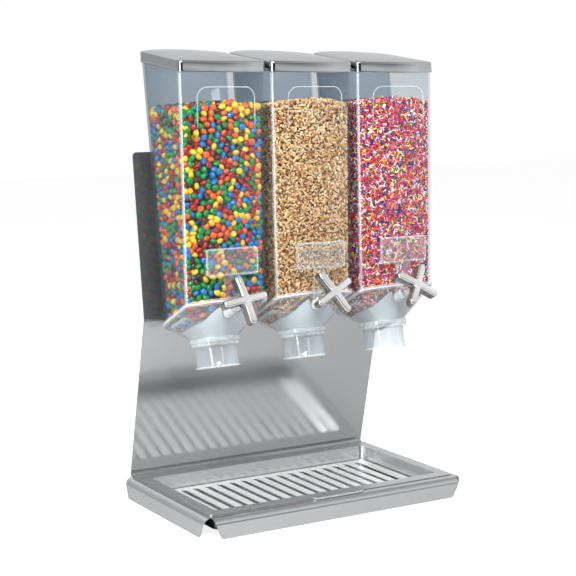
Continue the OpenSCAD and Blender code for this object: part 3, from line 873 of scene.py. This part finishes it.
def knob(side, mats):
    """Cross-shaped knob: four deep arms with rounded ends and edges, on a tapered hub. The arms' sides and
    back take a darker copy of its silver as painted shade.
    """
    cx = centre_x(side)
    turn = math.radians(KNOB_TURN[side])
    spin = np.array([[math.cos(turn), math.sin(turn)], [-math.sin(turn), math.cos(turn)]])
    back = KNOB_FACE - ARM_DEPTH
    profile = [
        (1.2, back), (0.5, back + 0.15), (0.1, back + 0.6), (0, back + 1.2),
        (0, KNOB_FACE - 1.9), (0.15, KNOB_FACE - 1.2), (0.6, KNOB_FACE - 0.5),
        (1.3, KNOB_FACE - 0.1), (2.2, KNOB_FACE), (3.6, KNOB_FACE), (5.22, KNOB_FACE),
    ]
    shape = Shape()
    rings = [shaft_frame(cx, crowned(flat(cross_outline(i) @ spin, s))) for i, s in profile]
    # The arms' back and sides take the darker silver, painted shade; the rounded front edge and face take
    # the light silver
    shape.skin(rings, mats=[1, 1, 1, 1, 0, 0, 0, 0, 0, 0], start_cap=1, end_cap=0)
    hub = [
        (8.1, KNOB_BACK), (8.7, KNOB_BACK + 0.2), (9.1, KNOB_BACK + 0.8), (9.5, KNOB_BACK + 4),
        (9.5, back + 1),
    ]
    shape.skin(lathe(hub, lambda p: shaft_frame(cx, p), 64), start_cap=0)
    materials = [mats["knob"], mats["knob_side"]]
    shape.make("knob_cross_" + side, "rotor_" + side, materials, "knob_" + side)


# ---------- contents ----------


def globe(segments, bottom, rings, top):
    """Round shape about Z with its faces: rings of (radius, height) between a bottom and a top point."""
    verts = [(0, 0, bottom)]
    for radius, height in rings:
        for i in range(segments):
            angle = 2 * math.pi * i / segments
            verts.append((radius * math.cos(angle), radius * math.sin(angle), height))
    verts.append((0, 0, top))
    last = len(verts) - 1
    faces = []
    for i in range(segments):
        j = (i + 1) % segments
        faces.append((0, 1 + j, 1 + i))
        faces.append((last, last - segments + i, last - segments + j))
        for k in range(len(rings) - 1):
            low = 1 + k * segments
            faces.append((low + i, low + j, low + segments + j, low + segments + i))
    return np.array(verts), faces


def lens(segments, levels, thickness):
    """Unit lens: radius 1 across, thickness for the half height."""
    tilts = [-math.pi / 2 + math.pi * k / levels for k in range(1, levels)]
    rings = [(math.cos(tilt), thickness * math.sin(tilt)) for tilt in tilts]
    return globe(segments, -thickness, rings, thickness)


def rod(segments, length):
    """Unit rod: radius 1, half length as given, with domed ends."""
    rings = ((0.72, -length + 0.35), (1, -length + 1), (1, length - 1), (0.72, length - 0.35))
    return globe(segments, -length, rings, length)


def random_turns(rng, count):
    """Uniform random rotation matrices."""
    w, x, y, z = unit(rng.normal(size=(count, 4))).T
    return np.stack([
        np.stack([1 - 2 * (y * y + z * z), 2 * (x * y - z * w), 2 * (x * z + y * w)], -1),
        np.stack([2 * (x * y + z * w), 1 - 2 * (x * x + z * z), 2 * (y * z - x * w)], -1),
        np.stack([2 * (x * z - y * w), 2 * (y * z + x * w), 1 - 2 * (x * x + y * y)], -1),
    ], 1)


def leaning_turns(rng, normals, spread):
    """Rotations that lay the long local Z axis along the wall, give or take spread."""
    count = len(normals)
    loose = rng.normal(size=(count, 3))
    flat_along = unit(loose - (loose * normals).sum(1)[:, None] * normals)
    along = unit(flat_along + normals * rng.normal(scale=spread, size=count)[:, None])
    across = unit(np.cross(along, rng.normal(size=(count, 3))))
    return np.stack([across, np.cross(along, across), along], -1)


def reach_to(item, turns, normals, scale):
    """How far each turned piece reaches from its middle against its normal."""
    turned = np.einsum("nij,nj->ni", turns.transpose(0, 2, 1), normals)
    return (turned @ item.T).max(1) * scale


def perimeter_points(low, high, s, t):
    """Points at share s around and t up between two rings, and the normals that point inwards."""
    loop = (low + high) / 2
    step = np.linalg.norm(np.roll(loop, -1, 0) - loop, axis=1)
    place = np.concatenate([[0], np.cumsum(step)]) / step.sum()
    i = np.clip(np.searchsorted(place, s % 1, side="right") - 1, 0, len(loop) - 1)
    w = ((s % 1) - place[i]) / (place[i + 1] - place[i])
    j = (i + 1) % len(loop)
    a = low[i] + w[:, None] * (low[j] - low[i])
    b = high[i] + w[:, None] * (high[j] - high[i])
    point = a + t[:, None] * (b - a)
    tangent = (low[j] - low[i]) + (high[j] - high[i])
    return point, unit(np.cross(b - a, tangent))


def rows_on_wall(rng, low, high, spacing, jitter=0.32):
    """Staggered rows with random shifts over the wall between two rings."""
    around = np.linalg.norm(np.roll(low, -1, 0) - low, axis=1).sum()
    tall = np.linalg.norm(high - low, axis=1).max()
    columns = int(around / spacing[0])
    rows = int(tall / spacing[1])
    row, column = np.mgrid[0:rows, 0:columns]
    s = (column + 0.5 * (row % 2)).ravel() / columns
    t = (row.ravel() + 0.5) / rows
    s = s + rng.normal(scale=jitter / columns, size=s.size)
    t = t + rng.normal(scale=jitter / rows, size=t.size)
    return s, np.clip(t, 0, 1)


def spread_on_wall(rng, low, high, gap):
    """Places over the wall between two rings, pushed apart until they lie about gap from each other."""
    around = np.linalg.norm(np.roll(low, -1, 0) - low, axis=1).sum()
    tall = np.linalg.norm(high - low, axis=1).max()
    count = int(around * tall / (0.88 * gap * gap))
    spot = rng.uniform(size=(count, 2)) * (around, tall)
    for _ in range(22):
        apart = spot[:, None, :] - spot[None, :, :]
        apart[..., 0] -= around * np.round(apart[..., 0] / around)
        far = np.hypot(apart[..., 0], apart[..., 1]) + 1e-6
        push = np.clip(gap - far, 0, None) / far
        np.fill_diagonal(push, 0)
        spot += 0.45 * (apart * push[..., None]).sum(axis=1)
        spot[:, 1] = np.clip(spot[:, 1], 0, tall)
    return spot[:, 0] / around % 1, spot[:, 1] / tall


def fill_top(side, x, y):
    """Height of the heap's surface at x from the middle and y."""
    return FILL_Z[side] + FILL_DOME * (1 - (x / 62) ** 2) - 0.05 * (y + 50)


def inside(points, polygon):
    """Whether each 2-D point lies in the polygon."""
    x, y = points.T
    found = np.zeros(len(points), bool)
    for (x0, y0), (x1, y1) in zip(polygon, np.roll(polygon, -1, 0)):
        crosses = (y0 > y) != (y1 > y)
        found ^= crosses & (x < (x1 - x0) * (y - y0) / (y1 - y0 + 1e-12) + x0)
    return found


def free_of_wheel(cx, points, margin):
    """Whether points in the funnel lie outside the trough and clear of the wheel."""
    x, up, along = to_shaft_frame(cx, points).T
    above = (np.abs(x) > TROUGH_R + margin / 2) | (up > margin)
    near = (along > WHEEL_FROM - 4) & (along < WHEEL_TO + 6)
    return above & ~(near & (np.hypot(x, up) < WHEEL_R + margin))


class Food:
    """One canister's contents: items of one shape in several colours, in layers round a solid core."""

    def __init__(self, kind, side, seed, item, radius, spacing, layers, lean=None):
        """item is its shape at radius 1 with its faces. Without lean, items lie any way round."""
        self.kind = kind
        self.side = side
        self.cx = centre_x(side)
        self.rng = np.random.default_rng(seed)
        self.item, self.faces = item
        self.radius = radius
        self.spacing = spacing
        self.layers = layers
        self.lean = lean

    def top_at(self, points):
        return fill_top(self.side, points[:, 0] - self.cx, points[:, 1])

    def turns_on(self, normals):
        if self.lean is None:
            return random_turns(self.rng, len(normals))
        return leaning_turns(self.rng, normals, self.lean)

    def layer(self, low, high, depth):
        """One layer against the wall between two rings: where around and how far up, places, turns."""
        if self.lean is None:
            s, t = spread_on_wall(self.rng, low, high, self.spacing[0])
        else:
            s, t = rows_on_wall(self.rng, low, high, self.spacing)
        point, normal = perimeter_points(low, high, s, t)
        turn = self.turns_on(normal)
        reach = reach_to(self.item, turn, normal, self.radius)
        inwards = reach + 0.15 + depth + self.rng.uniform(0, 0.8, len(s))
        return s, t, point + normal * inwards[:, None], turn

    def in_tub(self, depth):
        """Places and turns of one layer against the tub's wall, up to the heap's uneven top."""
        low = rim_ring(self.cx, CAN_WALL, 0)
        high = mouth_ring(self.cx, CAN_WALL, 0)
        _, _, point, turn = self.layer(low, high, depth)
        keep = point[:, 2] < self.top_at(point) - self.rng.uniform(0, 3, len(point))
        return point[keep], turn[keep]

    def in_funnel(self, depth):
        """Places and turns of one layer against the funnel, above its skirt and clear of the wheel."""
        low = neck_ring(self.cx, NECK_R - FUNNEL_WALL, COLLAR_TO)
        high = rim_ring(self.cx, FUNNEL_WALL, -GASKET_T)
        s, t, point, turn = self.layer(low, high, depth)
        rim, _ = perimeter_points(low, high, s, np.ones(len(s)))
        reach = self.radius * np.abs(self.item).max()
        keep = free_of_wheel(self.cx, point, reach * 0.8)
        keep &= t > skirt_share(rim[:, 0] - self.cx, rim[:, 1]) + reach / FUNNEL_RUN
        return point[keep], turn[keep]

    def on_top(self):
        """Places and turns over the top of the heap, inside the wall."""
        level = wall_ring(self.cx, CAN_WALL + self.radius * 1.1, 0.84)[:, :2]
        x0, y0 = level.min(0)
        x1, y1 = level.max(0)
        xs = np.arange(x0, x1, self.spacing[0] * 0.9)
        ys = np.arange(y0, y1, self.spacing[0] * 0.9)
        grid = np.array([(x, y) for x in xs for y in ys] * 2)
        grid += self.rng.normal(scale=self.spacing[0] * 0.25, size=grid.shape)
        grid = grid[inside(grid, level)]
        height = self.top_at(grid) - self.rng.uniform(0, self.spacing[1], len(grid))
        turn = self.turns_on(np.tile([0.0, 0.0, 1.0], (len(grid), 1)))
        return np.column_stack([grid, height - self.radius * 0.5]), turn

    def heap(self):
        """Places and turns of all items."""
        lots = [self.in_tub(depth) for depth in self.layers]
        lots += [self.in_funnel(depth) for depth in self.layers]
        lots.append(self.on_top())
        places, turns = zip(*lots)
        return np.vstack(places), np.concatenate(turns)

    def pour(self, places, turns, colours, shares, make_material, sizes):
        """Makes one piece of all items of each colour, each item with its own size."""
        count = len(places)
        chosen = self.rng.choice(len(colours), size=count, p=np.array(shares) / sum(shares))
        size = self.rng.uniform(*sizes, (count, 1, 1)) * self.radius
        verts = np.einsum("nij,vj->nvi", turns, self.item) * size + places[:, None, :]
        for index, (colour, value) in enumerate(colours.items()):
            own = verts[chosen == index].reshape(-1, 3)
            shape = Shape()
            shape.verts = [own]
            starts = range(0, len(own), len(self.item))
            shape.faces = [[v + start for v in face] for start in starts for face in self.faces]
            shape.mats = [0] * len(shape.faces)
            name = f"{self.kind}_{colour}"
            shape.make(name, "canister_unit_" + self.side, [make_material(name, value)], sharp=80)

    def core(self, depth, colours, scale, shade):
        """Solid middle of the heap, depth inside the wall, in its own colours darkened by shade: painted
        shade that shows in the gaps between the items.
        """
        low = rim_ring(self.cx, CAN_WALL + depth, 1)
        high = mouth_ring(self.cx, CAN_WALL + depth, 0)
        share = (FILL_Z[self.side] - 6 - low[:, 2]) / (high[:, 2] - low[:, 2])
        top = low + share[:, None] * (high - low)
        middle = top.mean(axis=0)
        rings = [low, low + 0.5 * (top - low), top]
        for k in (0.9, 0.7, 0.4, 0.1):
            ring = middle + k * (top - middle)
            ring[:, 2] = self.top_at(ring) - 7
            rings.append(ring)
        shape = Shape()
        shape.skin(rings, start_cap=0, end_cap=0)
        material = mixed_core(self.kind + "_inside_painted_shade", list(colours.values()), scale, shade)
        shape.make(self.kind + "_core", "canister_unit_" + self.side, [material], sharp=60)


def candies(side):
    food = Food("candies", side, 11, lens(14, 8, 0.68), 5.8, spacing=(10.7, 9.6), layers=(0, 8.2))
    food.pour(*food.heap(), CANDY, CANDY_SHARE, candy_shell, (0.93, 1.03))
    food.core(10.5, CANDY, 80, 0.07)


def grains(side):
    """Long grains, a little flattened, and knobbly once they are laid out."""
    verts, faces = lens(6, 5, 1.0)
    item = (verts * (1.0, 0.8, 1.75), faces)
    food = Food("grains", side, 23, item, 1.9, spacing=(4.3, 4.0), layers=(0, 2.6), lean=0.5)
    laid = food.heap()
    food.item = food.item * (1 + 0.16 * food.rng.normal(size=(len(verts), 1)))
    food.pour(*laid, GRAIN, GRAIN_SHARE, toasted, (0.75, 1.0))
    food.core(5, GRAIN, 260, 0.12)


def sprinkles(side):
    food = Food("sprinkles", side, 37, rod(6, 3.3), 1.15, spacing=(5.2, 3.0), layers=(0, 2.0), lean=0.3)
    food.pour(*food.heap(), SPRINKLE, SPRINKLE_SHARE, candy_shell, (0.85, 1.0))
    food.core(5, SPRINKLE, 300, 0.14)


# ---------- floor, light, camera ----------


def plain_floor():
    """Pale floor that looks near white to the camera, yet throws little light on the object."""
    bpy.ops.mesh.primitive_plane_add(size=14, location=(0, 0, -0.0004))
    floor = bpy.context.object
    floor.name = "studio_floor"
    m = Mat("studio_floor_pale", Roughness=0.7, Specular_IOR_Level=0.1, Emission_Color=(1, 1, 1, 1))
    greys = [(0.3, (0.35, 0.35, 0.35)), (0.7, (0.37, 0.37, 0.37))]
    m.link(m.ramp(m.noise(3, 2), greys), m.shader.inputs["Base Color"])
    to_camera = m.node("LightPath").outputs["Is Camera Ray"]
    m.link(m.math("MULTIPLY", to_camera, 0.86), m.shader.inputs["Emission Strength"])
    floor.data.materials.append(m.material)


def studio_world():
    """White backdrop. What is mirrored is dark in front and bright to the right, and it lights matt
    faces less."""
    world = bpy.data.worlds.new("studio")
    bpy.context.scene.world = world
    world.use_nodes = True
    nodes = Nodes(world.node_tree)
    path = nodes.node("LightPath")
    mirrored = nodes.tree.nodes["Background"]
    nodes.link(surroundings(nodes), mirrored.inputs["Color"])
    nodes.link(nodes.map_range(path.outputs["Is Diffuse Ray"], 1.0, 0.3), mirrored.inputs["Strength"])
    seen = nodes.node("Background", {"Color": (1, 1, 1, 1)}).outputs["Background"]
    both = nodes.mix_shader(path.outputs["Is Camera Ray"], mirrored.outputs["Background"], seen)
    nodes.link(both, nodes.tree.nodes["World Output"].inputs["Surface"])


def surroundings(nodes):
    """Grey of the studio by azimuth (0 in front, 90 to the right), and from bright to dark overhead."""
    where = nodes.node("TexCoord").outputs["Generated"]
    x, y, z = nodes.node("SeparateXYZ", {"Vector": where}).outputs
    azimuth = nodes.math("ARCTAN2", x, nodes.math("MULTIPLY", y, -1))
    around = nodes.map_range(azimuth, 0, 1, -math.pi, math.pi)
    greys = (
        (-180, 0.55), (-110, 0.5), (-75, 0.22), (-45, 0.07),
        (3, 0.02), (31, 0.3), (55, 0.9), (180, 0.6),
    )
    stops = [(angle / 360 + 0.5, (grey, grey, grey * 1.02)) for angle, grey in greys]
    overhead = nodes.map_range(z, 1.1, 0.25, 0.5, 0.85)
    share = nodes.map_range(z, 0, 1, 0.35, 0.6)
    sockets = {0: share, 6: nodes.ramp(around, stops), 7: overhead}
    return nodes.node("Mix", sockets, data_type="RGBA").outputs[2]


def softbox(name, azimuth, elevation, distance, size, power, mirrored=True):
    """Area light around the object. Azimuth 0 is in front of it, and 90 to its right. Unless it is
    mirrored, no glossy surface shows it."""
    low, high = CAD_BOX
    middle = (low + high) / 2
    a = math.radians(azimuth)
    e = math.radians(elevation)
    way = Vector((math.sin(a) * math.cos(e), -math.cos(a) * math.cos(e), math.sin(e)))
    light = bpy.data.lights.new(name, "AREA")
    light.shape = "RECTANGLE"
    light.size = size[0]
    light.size_y = size[1]
    light.energy = power
    lamp = bpy.data.objects.new(name, light)
    lamp.visible_glossy = mirrored
    lamp.location = middle + way * distance
    lamp.rotation_mode = "QUATERNION"
    lamp.rotation_quaternion = way.to_track_quat("Z", "Y")
    bpy.context.scene.collection.objects.link(lamp)


def studio_light():
    softbox("key", -4, 40, 2.3, (1.0, 0.8), 84, False)
    softbox("fill", -78, 22, 2.0, (1.2, 1.2), 28, False)
    softbox("spark", -34, 42, 2.2, (0.8, 0.6), 38)
    softbox("left_strip", -62, 12, 1.9, (0.30, 1.7), 18)
    softbox("top", 0, 85, 1.9, (1.6, 1.2), 20, False)


def camera():
    pitch = math.radians(8.0)
    azimuth = math.radians(31.54)
    level = math.cos(pitch)
    way = Vector((math.sin(azimuth) * level, math.cos(azimuth) * level, -math.sin(pitch)))
    data = bpy.data.cameras.new("camera")
    data.lens = 92.96
    data.sensor_width = 36
    data.clip_start = 0.05
    data.clip_end = 60
    eye = bpy.data.objects.new("camera", data)
    eye.location = (-1.1449, -1.8461, 0.6208)
    eye.rotation_mode = "QUATERNION"
    eye.rotation_quaternion = way.to_track_quat("-Z", "Y")
    bpy.context.scene.collection.objects.link(eye)
    bpy.context.scene.camera = eye


def display():
    """Plain display colours, and enough passes for light through several clear walls."""
    scene = bpy.context.scene
    scene.view_settings.view_transform = "Standard"
    scene.cycles.transparent_max_bounces = 40
    scene.cycles.max_bounces = 10


# ---------- the whole ----------


mats = make_materials()
finish_node("stand_sheet", mats["stand"], 0.0004)
finish_node("catch_tray", mats["tray"], 0.0003)
finish_node("drip_grate", mats["grate"], 0.0003)
finish_node("hanger_screws", mats["fastener"], 0.0003)
finish_node("hanger_nuts", mats["fastener"], 0.0002)
NODE_FINISH = {
    "hanger": ("hanger", 0.0003),
    "hook": ("canister", 0.0004),
    "lid_seal": ("seal", 0),
    "rim_gasket": ("seal", 0),
    "wheel_housing": ("housing", 0),
    "portion_wheel": ("wheel", 0),
    "shaft": ("shaft", 0.0004),
    "shaft_bush": ("bush", 0),
}
for side in SIDES:
    for node, (finish, bevel) in NODE_FINISH.items():
        finish_node(f"{node}_{side}", mats[finish], bevel)
    for make_piece in (canister, lid, label_holder, funnel, housing_skirt, chute, knob):
        make_piece(side, mats)
candies("left")
grains("middle")
sprinkles("right")
plain_floor()
studio_world()
studio_light()
camera()
display()
bpy.context.view_layer.update()
